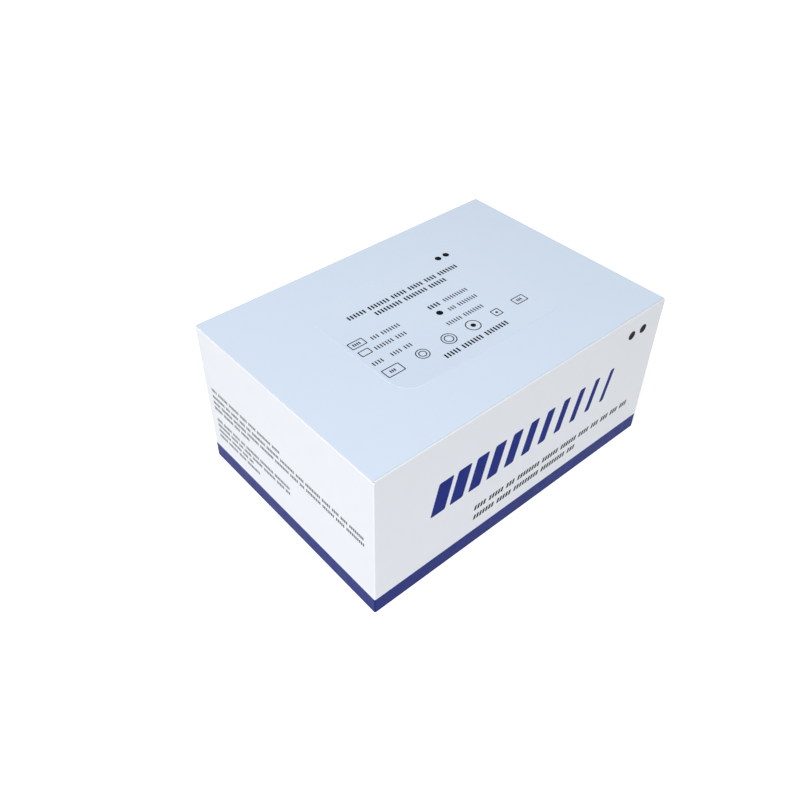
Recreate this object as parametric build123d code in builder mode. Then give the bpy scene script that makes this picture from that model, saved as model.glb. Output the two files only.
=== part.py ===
# A rapid test kit in its folding carton: a paperboard box with a tuck-in lid hinged on the rear
# long edge, two dust flaps under the lid, and a snap-lock bottom of four interlocking flaps. A
# paper label lies on the lid. Inside, the sealed pouches that hold the tests stand on edge in two
# rows, with a bay between them for the buffer bottle and the folded leaflet.
#
# Millimetres. X runs along the front, -Y is the front, +Z is up. The origin is the middle of
# the base, on the surface that the carton stands on.
import os
from math import asin, cos, floor, sin, sqrt

from build123d import *

os.makedirs("parts", exist_ok=True)

# Carton
box_length = 180.0
box_depth = 126.0
box_height = 83.3
board = 0.5
corner_radius = 0.7
edge_radius = 0.4

# Lid and its tuck flap
lid_rest_gap = 0.15
lid_side_relief = 0.4
front_edge_drop = 0.1
tuck_gap = 0.15
tuck_depth = 16.0
tuck_shoulder = 1.5
tuck_corner = 10.0
slit_length = 8.0
slit_width = 0.4

# Dust flaps, seen from above
dust_length = 34.0
dust_front_relief = 2.8
dust_back_relief = 1.2
dust_straight = 9.0
dust_taper = 6.0
dust_corner = 6.0

# Snap-lock bottom, seen from above
flap_relief = 0.6
lock_line = 2.0
lock_clearance = 1.5
ramp_run = 8.0
tongue_width = 80.0
tongue_overlap = 14.0
tongue_corner = 6.0
leg_reach = 24.0
leg_bevel = 10.0
side_flap_waist = 20.0

# Glued side seam
seam_width = 13.0
seam_end_inset = 5.0
seam_bevel = 3.0
seam_groove_width = 0.15
seam_groove_depth = 0.2

# Label on the lid
label_length = 100.6
label_depth = 73.2
label_corner = 11.0
label_x = 1.1
label_y = 1.4
label_thickness = 0.12

# Sealed pouches
pouch_pitch = 7.0
pouch_bulge = 6.6
pouch_end_clearance = 3.0
pouch_head_clearance = 6.0
seal_thickness = 0.4
seal_end_width = 9.0
seal_side_width = 7.0
bulge_slope = 7.0
bulge_step = 0.2
crown_slope = 7.0
crown_drop = 0.9
crown_corner = 3.0
notch_width = 2.4
notch_depth = 2.6
notch_offset = 14.0

# Buffer bottle
bottle_radius = 11.0
bottle_body_height = 40.0
bottle_shoulder_rise = 5.0
bottle_base_chamfer = 1.0
shoulder_bend_radius = 9.0
shoulder_bend_rise = 3.5
neck_radius = 5.0
neck_height = 9.0
tip_radius = 2.2
tip_height = 8.0
tip_bore_radius = 0.6
tip_bore_depth = 6.0
cap_wall = 1.6
cap_clearance = 0.15
cap_skirt_gap = 0.4
cap_top = 1.8
cap_chamfer = 0.8
cap_rib_count = 24
cap_rib_width = 1.0
cap_rib_crest = 0.5
cap_rib_height = 0.5
bottle_end_clearance = 17.5

# Folded leaflet
sheet_thickness = 0.25
fold_pitch = 0.55
leaflet_panels = 6
leaflet_head_clearance = 10.0
leaflet_end_clearance = 5.0

# Clearances for what stands loose in the carton
stand_gap = 0.1
side_gap = 0.4
bay_gap = 1.0
bay_width = 38.0

# Heights and inner faces that several pieces share
inner_length = box_length - 2 * board
inner_depth = box_depth - 2 * board
fold_top = box_height - board - lid_rest_gap
front_top = box_height - front_edge_drop
fold_round = min(edge_radius, 0.8 * board)
front_flap_z = 0.0
side_flap_z = board
back_flap_z = 2 * board
tongue_z = 3 * board
tongue_top = 4 * board
ramp_end = lock_line - lock_clearance
ramp_start = ramp_end - ramp_run
notch_half = tongue_width / 2 + lock_clearance


# Folding carton
def mirrored_pair(points):
    return [(-x, y) for x, y in points]


with BuildPart() as carton_body:
    # The four walls, whose lower outer edges are rounded where the board folds under
    with BuildSketch() as wall_ring:
        RectangleRounded(box_length, box_depth, corner_radius)
        RectangleRounded(
            inner_length,
            inner_depth,
            max(corner_radius - board, 0.05),
            mode=Mode.SUBTRACT,
        )
    extrude(amount=fold_top)
    base_face = carton_body.faces().sort_by(Axis.Z)[0]
    fillet(base_face.outer_wire().edges(), fold_round)

    # The front wall ends in a cut edge beside the lid's tuck fold, a little above the others
    with BuildSketch(Plane.XY.offset(fold_top)):
        with Locations((0, -(box_depth - board) / 2)):
            Rectangle(box_length - 2 * corner_radius, board)
    extrude(amount=front_top - fold_top)

    # Dust flaps, folded in from the side walls just under the lid
    root_x = inner_length / 2
    tip_x = box_length / 2 - dust_length
    front_y = -inner_depth / 2 + dust_front_relief
    back_y = inner_depth / 2 - dust_back_relief
    dust_outline = [
        (root_x, front_y),
        (root_x - dust_straight, front_y),
        (tip_x, front_y + dust_taper),
        (tip_x, back_y - dust_taper),
        (root_x - dust_straight, back_y),
        (root_x, back_y),
    ]
    for outline in (dust_outline, mirrored_pair(dust_outline)):
        with BuildSketch(Plane.XY.offset(fold_top - board)) as dust_flap:
            with BuildLine():
                Polyline(*outline, close=True)
            make_face()
            fillet(
                dust_flap.vertices().filter_by(lambda v: abs(abs(v.X) - tip_x) < 0.01),
                dust_corner,
            )
        extrude(amount=board)
    flap_folds = (
        carton_body.edges()
        .filter_by(Axis.Y)
        .filter_by(lambda e: abs(abs(e.center().X) - box_length / 2) < 0.01)
        .filter_by(lambda e: abs(e.center().Z - fold_top) < 0.01)
    )
    fillet(flap_folds, fold_round)

    # Back bottom flap: two legs with a notch between them for the tongue
    leg_x = inner_length / 2 - flap_relief
    leg_end = lock_line - leg_reach
    with BuildSketch(Plane.XY.offset(back_flap_z)):
        with BuildLine():
            Polyline(
                (-leg_x, inner_depth / 2),
                (leg_x, inner_depth / 2),
                (leg_x, leg_end + leg_bevel),
                (leg_x - leg_bevel, leg_end),
                (notch_half + leg_bevel / 2, leg_end),
                (notch_half, leg_end + leg_bevel / 2),
                (notch_half, lock_line),
                (-notch_half, lock_line),
                (-notch_half, leg_end + leg_bevel / 2),
                (-notch_half - leg_bevel / 2, leg_end),
                (-leg_x + leg_bevel, leg_end),
                (-leg_x, leg_end + leg_bevel),
                close=True,
            )
        make_face()
    extrude(amount=board)

    # Side bottom flaps: each slants away from the back wall and stops short of the tongue
    side_root_y = inner_depth / 2 - flap_relief
    side_tip_x = notch_half + lock_clearance
    side_outline = [
        (inner_length / 2, -side_root_y),
        (inner_length / 2, side_root_y),
        (side_tip_x, lock_line + side_flap_waist),
        (side_tip_x, ramp_start - side_flap_waist),
        (side_tip_x + side_flap_waist, -side_root_y),
    ]
    for outline in (side_outline, mirrored_pair(side_outline)):
        with BuildSketch(Plane.XY.offset(side_flap_z)):
            with BuildLine():
                Polyline(*outline, close=True)
            make_face()
        extrude(amount=board)

    # Front bottom flap, outermost, with the root of its tongue
    front_x = inner_length / 2 - flap_relief
    with BuildSketch(Plane.XY.offset(front_flap_z)):
        with BuildLine():
            Polyline(
                (-front_x, -inner_depth / 2),
                (front_x, -inner_depth / 2),
                (front_x, ramp_start - side_flap_waist),
                (front_x - side_flap_waist, ramp_start),
                (side_flap_waist - front_x, ramp_start),
                (-front_x, ramp_start - side_flap_waist),
                close=True,
            )
        make_face()
    extrude(amount=board)

    # The tongue climbs through the notch and lies on the back flap, inside
    with BuildSketch(Plane.YZ):
        with BuildLine():
            Polyline(
                (ramp_start - board, front_flap_z),
                (ramp_start, front_flap_z),
                (ramp_end, tongue_z),
                (lock_line + tongue_overlap, tongue_z),
                (lock_line + tongue_overlap, tongue_top),
                (ramp_end, tongue_top),
                (ramp_start, front_flap_z + board),
                (ramp_start - board, front_flap_z + board),
                close=True,
            )
        make_face()
    extrude(amount=tongue_width / 2, both=True)
    tongue_corners = (
        carton_body.edges()
        .filter_by(Axis.Z)
        .filter_by(lambda e: abs(abs(e.center().X) - tongue_width / 2) < 0.01)
        .filter_by(lambda e: abs(e.center().Y - lock_line - tongue_overlap) < 0.01)
    )
    fillet(tongue_corners, tongue_corner)

    # The glued seam: the back wall's end strip lies inside the right wall
    strip_x = inner_length / 2 - board
    strip_y = inner_depth / 2 - seam_width
    strip_low = tongue_top + seam_end_inset
    strip_high = fold_top - board - seam_end_inset
    with BuildSketch(Plane.YZ.offset(strip_x)):
        with BuildLine():
            Polyline(
                (inner_depth / 2, strip_low),
                (inner_depth / 2, strip_high),
                (strip_y, strip_high - seam_bevel),
                (strip_y, strip_low + seam_bevel),
                close=True,
            )
        make_face()
    extrude(amount=board)
    with BuildSketch(Plane.XY):
        with Locations((inner_length / 2, box_depth / 2)):
            Rectangle(
                seam_groove_width,
                2 * seam_groove_depth,
            )
    extrude(amount=fold_top, mode=Mode.SUBTRACT)

carton_body.part.label = "carton_body"
export_step(carton_body.part, "parts/carton_body.step")


# Lid with its tuck flap. The tuck flap is curved about the hinge line, so it slides past the
# inside of the front wall without touching it as the lid swings.
lid_half_length = box_length / 2 - lid_side_relief
hinge_y = box_depth / 2
tuck_outer = box_depth - board - tuck_gap
tuck_inner = tuck_outer - board
tuck_angle = asin(tuck_depth / tuck_outer)
under_angle = asin(board / tuck_inner)


def swing(radius, angle):
    return (hinge_y - radius * cos(angle), box_height - radius * sin(angle))


with BuildPart() as lid:
    with BuildSketch(Plane.YZ):
        with BuildLine():
            Line((hinge_y, box_height), swing(tuck_outer, 0))
            ThreePointArc(
                swing(tuck_outer, 0),
                swing(tuck_outer, tuck_angle / 2),
                swing(tuck_outer, tuck_angle),
            )
            Line(swing(tuck_outer, tuck_angle), swing(tuck_inner, tuck_angle))
            ThreePointArc(
                swing(tuck_inner, tuck_angle),
                swing(tuck_inner, (tuck_angle + under_angle) / 2),
                swing(tuck_inner, under_angle),
            )
            Line(swing(tuck_inner, under_angle), (hinge_y, box_height - board))
            Line((hinge_y, box_height - board), (hinge_y, box_height))
        make_face()
    extrude(amount=lid_half_length, both=True)
    # Both folds, the tuck fold at the front and the hinge fold at the rear, are rounded
    lid_folds = (
        lid.edges()
        .filter_by(Axis.X)
        .filter_by(lambda e: abs(e.center().Z - box_height) < 0.01)
    )
    fillet(lid_folds, fold_round)

    # The tuck flap is narrower than the lid, rounded at its free corners, and slit along the
    # ends of its fold so that the dust flaps catch there
    flap_half = lid_half_length - tuck_shoulder
    shoulder_z = box_height - board
    flap_low = box_height - tuck_depth - board
    with BuildSketch(Plane.XZ.offset(box_depth / 2)) as flap_face:
        with BuildLine():
            Polyline(
                (-flap_half, shoulder_z),
                (-flap_half, flap_low),
                (flap_half, flap_low),
                (flap_half, shoulder_z),
                close=True,
            )
        make_face()
        fillet(flap_face.vertices().group_by(Axis.Y)[0], tuck_corner)
    with BuildSketch(Plane.XZ.offset(box_depth / 2)) as trim:
        with Locations((0, (shoulder_z + flap_low) / 2)):
            Rectangle(2 * lid_half_length, shoulder_z - flap_low)
        add(flap_face.sketch, mode=Mode.SUBTRACT)
        for side in (-1, 1):
            with Locations((side * (flap_half - slit_length / 2), shoulder_z - slit_width / 2)):
                Rectangle(slit_length, slit_width)
    extrude(to_extrude=trim.sketch, amount=-tuck_depth, mode=Mode.SUBTRACT)
lid.part.label = "lid"
export_step(lid.part, "parts/lid.step")


# Paper label, stuck to the top of the lid
with BuildPart() as top_label:
    with BuildSketch(Plane.XY.offset(box_height)):
        with Locations((label_x, label_y)):
            RectangleRounded(label_length, label_depth, label_corner)
    extrude(amount=label_thickness)
top_label.part.label = "top_label"
export_step(top_label.part, "parts/top_label.step")


# Sealed pouches, standing on their long edges with their flat sides along the carton. Each is a
# pillow inside a flat sealed rim, with a tear notch in the upper edge.
pouch_length = inner_depth - 2 * pouch_end_clearance
pouch_top = fold_top - board - pouch_head_clearance
pillow_half = (pouch_bulge - seal_thickness) / 2
back_flap_top = back_flap_z + board


def floor_height(x):
    """Height of the floor under a pouch whose middle is at x"""
    reach = abs(x) - pouch_bulge / 2
    return tongue_top if reach < tongue_width / 2 + stand_gap else back_flap_top


def sealed_pouch(x):
    low = floor_height(x) + stand_gap
    height = pouch_top - low
    pillow_length = pouch_length - 2 * seal_end_width
    pillow_height = height - 2 * seal_side_width
    base_corner = crown_corner + (2 - sqrt(2)) * (bulge_slope + crown_slope)
    middle = Plane.YZ.offset(x)
    middle_z = (low + pouch_top) / 2
    notch_y = pouch_length / 2 - notch_offset
    with BuildPart() as pouch:
        # Flat sealed rim, whose upper edge has a V-shaped tear notch
        with BuildSketch(middle):
            with Locations((0, middle_z)):
                Rectangle(pouch_length, height)
            with BuildLine():
                Polyline(
                    (notch_y - notch_width / 2, pouch_top),
                    (notch_y + notch_width / 2, pouch_top),
                    (notch_y, pouch_top - notch_depth),
                    close=True,
                )
            make_face(mode=Mode.SUBTRACT)
        extrude(amount=seal_thickness / 2)
        # Pillow: a steep slope round its edge, then a shallow one up to a flat crown
        with BuildSketch(middle.offset(seal_thickness / 2)) as pillow:
            with Locations((0, middle_z)):
                Rectangle(pillow_length, pillow_height)
            chamfer(pillow.vertices(), base_corner)
        extrude(amount=pillow_half)
        for run, rise in ((bulge_slope, pillow_half - bulge_step), (crown_slope, crown_drop)):
            crown = pouch.faces().sort_by(Axis.X)[-1]
            chamfer(crown.edges(), length=run, length2=rise, reference=crown)
        mirror(about=middle)
    return pouch.part


pouches_per_row = floor((inner_length / 2 - side_gap - bay_width / 2) / pouch_pitch)
row_start = inner_length / 2 - side_gap - pouch_pitch / 2
pouch_places = [-row_start + i * pouch_pitch for i in range(pouches_per_row)]
pouch_places += [-x for x in reversed(pouch_places)]
for number, place in enumerate(pouch_places, start=1):
    pouch = sealed_pouch(place)
    pouch.label = f"pouch_{number:02d}"
    export_step(pouch, f"parts/{pouch.label}.step")


# Bay between the two rows
bay_half = inner_length / 2 - side_gap - pouches_per_row * pouch_pitch
leaflet_thickness = (leaflet_panels - 1) * fold_pitch + sheet_thickness
bottle_x = bay_half - bay_gap - bottle_radius
bottle_y = inner_depth / 2 - bottle_end_clearance - bottle_radius

# Buffer bottle: a squeeze bottle with a dropper tip under its cap
bottle_low = back_flap_top + stand_gap
shoulder_base = bottle_low + bottle_body_height
neck_base = shoulder_base + bottle_shoulder_rise
tip_base = neck_base + neck_height
tip_top = tip_base + tip_height
with BuildPart() as buffer_bottle:
    with BuildSketch(Plane.XZ.offset(-bottle_y)) as bottle_half:
        with BuildLine():
            Polyline(
                (bottle_x, bottle_low),
                (bottle_x + bottle_radius - bottle_base_chamfer, bottle_low),
                (bottle_x + bottle_radius, bottle_low + bottle_base_chamfer),
                (bottle_x + bottle_radius, shoulder_base),
                (bottle_x + shoulder_bend_radius, shoulder_base + shoulder_bend_rise),
                (bottle_x + neck_radius, neck_base),
                (bottle_x + neck_radius, tip_base),
                (bottle_x + tip_radius, tip_base),
                (bottle_x + tip_radius / 2, tip_top),
                (bottle_x, tip_top),
                close=True,
            )
        make_face()
    revolve(axis=Axis((bottle_x, bottle_y, 0), (0, 0, 1)))
    with Locations((bottle_x, bottle_y, tip_top)):
        Hole(tip_bore_radius, tip_bore_depth)
buffer_bottle.part.label = "buffer_bottle"
export_step(buffer_bottle.part, "parts/buffer_bottle.step")

# Ribbed screw cap over the dropper tip
cap_radius = neck_radius + cap_clearance + cap_wall
cap_low = neck_base + cap_skirt_gap
cap_high = tip_top + cap_clearance + cap_top
cap_step = tip_base + cap_clearance
cap_ceiling = tip_top + cap_clearance
with BuildPart() as bottle_cap:
    with BuildSketch(Plane.XY.offset(cap_low)):
        with Locations((bottle_x, bottle_y)):
            Circle(cap_radius)
    extrude(amount=cap_high - cap_low)
    chamfer(bottle_cap.edges().sort_by(Axis.Z)[-1], cap_chamfer)
    with BuildSketch(Plane.XY.offset(cap_low)):
        with Locations((bottle_x, bottle_y)):
            with PolarLocations(cap_radius, cap_rib_count):
                Polygon(
                    (-cap_rib_height, -cap_rib_width / 2),
                    (0, -cap_rib_width / 2),
                    (cap_rib_height, -cap_rib_crest / 2),
                    (cap_rib_height, cap_rib_crest / 2),
                    (0, cap_rib_width / 2),
                    (-cap_rib_height, cap_rib_width / 2),
                    align=None,
                )
    extrude(amount=cap_high - cap_chamfer - cap_low)
    # Stepped bore: wide round the neck, narrow round the dropper tip
    for bore_radius, bore_top in ((neck_radius, cap_step), (tip_radius, cap_ceiling)):
        with BuildSketch(Plane.XY.offset(cap_low)):
            with Locations((bottle_x, bottle_y)):
                Circle(bore_radius + cap_clearance)
        extrude(amount=bore_top - cap_low, mode=Mode.SUBTRACT)
bottle_cap.part.label = "bottle_cap"
export_step(bottle_cap.part, "parts/bottle_cap.step")


# Instruction leaflet, folded in a concertina and standing against one row of pouches
leaflet_low = tongue_top + stand_gap
leaflet_high = pouch_top - leaflet_head_clearance
leaflet_half = inner_depth / 2 - leaflet_end_clearance - fold_pitch
first_panel_x = -bay_half + bay_gap + sheet_thickness / 2
with BuildPart() as instruction_leaflet:
    with BuildSketch(Plane.XY.offset(leaflet_low)):
        with BuildLine() as fold_line:
            for panel in range(leaflet_panels):
                x = first_panel_x + panel * fold_pitch
                end_y = leaflet_half if panel % 2 == 0 else -leaflet_half
                Line((x, -end_y), (x, end_y))
                if panel < leaflet_panels - 1:
                    turn = fold_pitch / 2
                    bow = turn if end_y > 0 else -turn
                    ThreePointArc((x, end_y), (x + turn, end_y + bow), (x + fold_pitch, end_y))
        trace(line_width=sheet_thickness)
    extrude(amount=leaflet_high - leaflet_low)
instruction_leaflet.part.label = "instruction_leaflet"
export_step(instruction_leaflet.part, "parts/instruction_leaflet.step")
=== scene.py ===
import math
import random

import bmesh
import bpy
from mathutils import Matrix, Vector, geometry


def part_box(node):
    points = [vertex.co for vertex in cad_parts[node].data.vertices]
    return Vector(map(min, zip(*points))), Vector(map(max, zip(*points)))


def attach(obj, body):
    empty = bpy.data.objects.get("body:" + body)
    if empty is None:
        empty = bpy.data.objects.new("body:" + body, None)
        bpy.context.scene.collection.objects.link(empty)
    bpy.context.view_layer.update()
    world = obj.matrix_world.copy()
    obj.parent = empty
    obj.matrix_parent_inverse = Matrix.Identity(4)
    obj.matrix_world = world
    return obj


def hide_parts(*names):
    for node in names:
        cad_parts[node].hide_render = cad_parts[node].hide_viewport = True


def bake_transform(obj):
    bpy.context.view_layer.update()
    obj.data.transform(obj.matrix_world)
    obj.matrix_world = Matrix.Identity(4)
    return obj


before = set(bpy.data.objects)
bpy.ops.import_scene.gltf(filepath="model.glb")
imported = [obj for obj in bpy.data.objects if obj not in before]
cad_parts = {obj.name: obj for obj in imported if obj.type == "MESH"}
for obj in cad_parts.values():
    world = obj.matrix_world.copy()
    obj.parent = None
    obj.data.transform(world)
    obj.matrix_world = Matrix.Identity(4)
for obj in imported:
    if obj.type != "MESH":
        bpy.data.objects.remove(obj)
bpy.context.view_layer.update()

mm = 0.001  # Shapes are given in millimetres; bump depths, camera and studio are in metres


# Small builders for node trees, of materials and of geometry alike

def join(tree, value, socket):
    # A value is another node's socket, or a plain one
    if isinstance(value, bpy.types.NodeSocket):
        tree.links.new(value, socket)
    else:
        socket.default_value = value


def calc(tree, operation, *values):
    node = tree.nodes.new("ShaderNodeMath")
    node.operation = operation
    for value, socket in zip(values, node.inputs):
        join(tree, value, socket)
    return node.outputs[0]


def times(tree, first, second):
    return calc(tree, "MULTIPLY", first, second)


def less(tree, value, taken):
    return calc(tree, "SUBTRACT", value, taken)


def vectorCalc(tree, operation, *values):
    node = tree.nodes.new("ShaderNodeVectorMath")
    node.operation = operation
    for value, socket in zip(values, node.inputs):
        join(tree, value, socket)
    return node.outputs


def vector(tree, *values):
    node = tree.nodes.new("ShaderNodeCombineXYZ")
    for value, socket in zip(values, node.inputs):
        join(tree, value, socket)
    return node.outputs[0]


def parts(tree, value):
    node = tree.nodes.new("ShaderNodeSeparateXYZ")
    tree.links.new(value, node.inputs[0])
    return node.outputs


def noiseField(tree, place, scale, detail, stretch=None):
    if stretch:
        place = vectorCalc(tree, "MULTIPLY", place, stretch)["Vector"]
    field = tree.nodes.new("ShaderNodeTexNoise")
    field.inputs["Scale"].default_value = scale
    field.inputs["Detail"].default_value = detail
    tree.links.new(place, field.inputs["Vector"])
    return field.outputs["Fac"]


noiseSpan = (0.3, 0.7)  # Most of a noise field lies between these


def remap(tree, value, low, high, newLow, newHigh):
    node = tree.nodes.new("ShaderNodeMapRange")
    titles = ("Value", "From Min", "From Max", "To Min", "To Max")
    for title, entry in zip(titles, (value, low, high, newLow, newHigh)):
        join(tree, entry, node.inputs[title])
    return node.outputs["Result"]


# Small builders for materials

def startMaterial(name, colour, roughness):
    material = bpy.data.materials.new(name)
    material.use_nodes = True
    tree = material.node_tree
    shader = tree.nodes["Principled BSDF"]
    shader.inputs["Base Color"].default_value = (*colour, 1)
    shader.inputs["Roughness"].default_value = roughness
    return material, tree, shader


def objectPlace(tree):
    return tree.nodes.new("ShaderNodeTexCoord").outputs["Object"]


def mixColours(tree, factor, first, second):
    # Either colour is three numbers or another node's socket
    node = tree.nodes.new("ShaderNodeMix")
    node.data_type = "RGBA"
    for title, colour in (("A", first), ("B", second)):
        if isinstance(colour, bpy.types.NodeSocket):
            tree.links.new(colour, node.inputs[title])
        else:
            node.inputs[title].default_value = (*colour, 1)
    tree.links.new(factor, node.inputs["Factor"])
    return node.outputs["Result"]


def addBump(tree, shader, layers):
    # Each layer is (height, depth in metres), stacked one on the other
    normal = None
    for height, depth in layers:
        node = tree.nodes.new("ShaderNodeBump")
        node.inputs["Distance"].default_value = depth
        tree.links.new(height, node.inputs["Height"])
        if normal:
            tree.links.new(normal, node.inputs["Normal"])
        normal = node.outputs["Normal"]
    tree.links.new(normal, shader.inputs["Normal"])


# Board, ink and paper finishes. Each has a little mottling, an uneven gloss and a fine tooth. A
# colour is the pair of shades that its mottling runs between, and a noise field is its scale, its
# detail and, where it is drawn out along an axis, the factor on each axis.

boardFinish = {
    "coat": ((0.851, 0.878, 0.919), (0.838, 0.866, 0.910)),
    # The colour given to the lid's top, a pale blue
    "topBlue": ((0.645, 0.741, 0.871), (0.633, 0.729, 0.860)),
    "inside": ((0.70, 0.69, 0.66), (0.60, 0.585, 0.55)),
    "core": ((0.86, 0.88, 0.91), (0.78, 0.80, 0.83)),
    # Lighter than the coat, on the rounded upright corners: partly the whitened fibres of a crease,
    # partly a painted highlight
    "crease": ((0.945, 0.955, 0.975), (0.915, 0.93, 0.955)),
    # Paler than the top's blue, on the lid's folds: partly the whitened fibres of a crease, partly
    # a painted highlight
    "topCreaseAndHighlight": ((0.84, 0.92, 0.975), (0.81, 0.895, 0.96)),
    "navy": ((0.001, 0.013, 0.182), (0.003, 0.017, 0.197)),
    "motif": ((0.003, 0.016, 0.215), (0.006, 0.021, 0.232)),
    "text": ((0.003, 0.003, 0.005), (0.006, 0.006, 0.009)),
    "boardGloss": 0.4,
    "inkGloss": 0.03,
    "bandGloss": 0.062,
    "coatRoughness": (0.38, 0.46),
    "inkRoughness": (0.34, 0.42),
    "insideRoughness": (0.78, 0.92),
    "mottle": (90, 3),
    "sheen": (180, 2),
    "tooth": (2600, 2),
    "toothDepth": 0.000006,
    "wave": (14, 1),
    "waveDepth": 0.00006,
    "fibre": (700, 4, (1, 2.4, 1.3)),
    "fibreDepth": 0.00002,
    "cutFibreDepth": 0.00001,
    "speckle": (0.42, 0.72),  # Where the fibre field turns from the first shade to the second
}


def printedBoard(name, shades, roughness, gloss):
    material, tree, shader = startMaterial(name, shades[0], roughness[0])
    shader.inputs["Specular IOR Level"].default_value = gloss
    place = objectPlace(tree)
    mottle = noiseField(tree, place, *boardFinish["mottle"])
    tree.links.new(mixColours(tree, mottle, *shades), shader.inputs["Base Color"])
    sheen = noiseField(tree, place, *boardFinish["sheen"])
    tree.links.new(remap(tree, sheen, *noiseSpan, *roughness), shader.inputs["Roughness"])
    tooth = noiseField(tree, place, *boardFinish["tooth"])
    wave = noiseField(tree, place, *boardFinish["wave"])
    addBump(tree, shader, [(wave, boardFinish["waveDepth"]), (tooth, boardFinish["toothDepth"])])
    return material


def rawBoard(name, shades, fibreDepth):
    roughness = boardFinish["insideRoughness"]
    material, tree, shader = startMaterial(name, shades[0], roughness[0])
    fibre = noiseField(tree, objectPlace(tree), *boardFinish["fibre"])
    speckle = remap(tree, fibre, *boardFinish["speckle"], 0, 1)
    tree.links.new(mixColours(tree, speckle, *shades), shader.inputs["Base Color"])
    tree.links.new(remap(tree, fibre, *noiseSpan, *roughness), shader.inputs["Roughness"])
    addBump(tree, shader, [(fibre, fibreDepth)])
    return material


def boardPrint(name, colour, roughness="coatRoughness", gloss="boardGloss"):
    return printedBoard(name, boardFinish[colour], boardFinish[roughness], boardFinish[gloss])


coatedBoard = boardPrint("coated white board", "coat")
blueBoard = boardPrint("pale blue top board", "topBlue")
insideBoard = rawBoard("uncoated inner board", boardFinish["inside"], boardFinish["fibreDepth"])
cutBoard = rawBoard("cut board edge", boardFinish["core"], boardFinish["cutFibreDepth"])
creaseAndHighlightWhite = boardPrint("creased white board and painted highlight", "crease")
creaseAndHighlightBlue = boardPrint("creased pale blue board and painted highlight", "topCreaseAndHighlight")
navyInk = boardPrint("navy ink", "navy", "inkRoughness", "bandGloss")
motifInk = boardPrint("deep navy ink", "motif", "inkRoughness", "inkGloss")
textInk = boardPrint("black ink", "text", "inkRoughness", "inkGloss")
print("board and ink finishes made")


# Making a piece of a mesh

meshFinish = {
    "merge": 0.001,  # Points nearer than this are one point
    "cut": 0.0001,  # Points nearer than this to a cut are on it
    "printWeld": 0.00001,  # Points of print outlines nearer than this are one point
    "inPlaneNear": 0.002,  # A flat wall's points lie nearer than this to its plane
    "inPlane": 0.9999,  # Share of a face's normal along a wall's, for it to be part of the wall
    "squareOn": 0.9,  # Share of a face's normal along an axis, for it to face that way
    "leaning": 0.5,  # The same, for it to lean that way
    "sharpAngle": 28,  # Degrees, past which an edge stays crisp
}


def workingCopy(node, name):
    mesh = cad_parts[node].data.copy()
    mesh.name = name
    mesh.materials.clear()
    shape = bmesh.new()
    shape.from_mesh(mesh)
    bmesh.ops.remove_doubles(shape, verts=shape.verts, dist=meshFinish["merge"] * mm)
    bmesh.ops.dissolve_degenerate(shape, edges=shape.edges, dist=meshFinish["merge"] * mm)
    return mesh, shape


def dress(shape, finishes, finishOf):
    # Gives each face the finish that finishOf picks for it
    shape.normal_update()
    for face in shape.faces:
        face.material_index = finishes.index(finishOf(face))


def settle(mesh, shape, name, finishes, body, slot, *nodes):
    shape.normal_update()
    shape.to_mesh(mesh)
    shape.free()
    for material in finishes:
        mesh.materials.append(material)
    return addPiece(mesh, name, body, slot, *nodes)


def addPiece(mesh, name, body, slot, *nodes):
    # body is empty for the rear fold alone, which is attached to no body
    mesh.polygons.foreach_set("use_smooth", [True] * len(mesh.polygons))
    mesh.set_sharp_from_angle(angle=math.radians(meshFinish["sharpAngle"]))
    piece = bpy.data.objects.new(name, mesh)
    bpy.context.scene.collection.objects.link(piece)
    weighted = piece.modifiers.new("weighted normal", "WEIGHTED_NORMAL")
    weighted.keep_sharp = True
    piece.data = plainMesh(piece, mesh.name)
    piece.modifiers.remove(weighted)
    if nodes:
        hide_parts(*nodes)
    if body:
        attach(piece, body)
    return piece


def plainMesh(piece, name):
    # What a piece's modifiers make of it, as a mesh of its own
    graph = bpy.context.evaluated_depsgraph_get()
    settled = piece.evaluated_get(graph)
    mesh = bpy.data.meshes.new_from_object(settled, preserve_all_data_layers=True, depsgraph=graph)
    mesh.name = name
    return mesh


# Flush print: the flat faces of a wall are cut again along the outlines of what is printed on it,
# so that every field of ink is a face of the board itself

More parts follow.
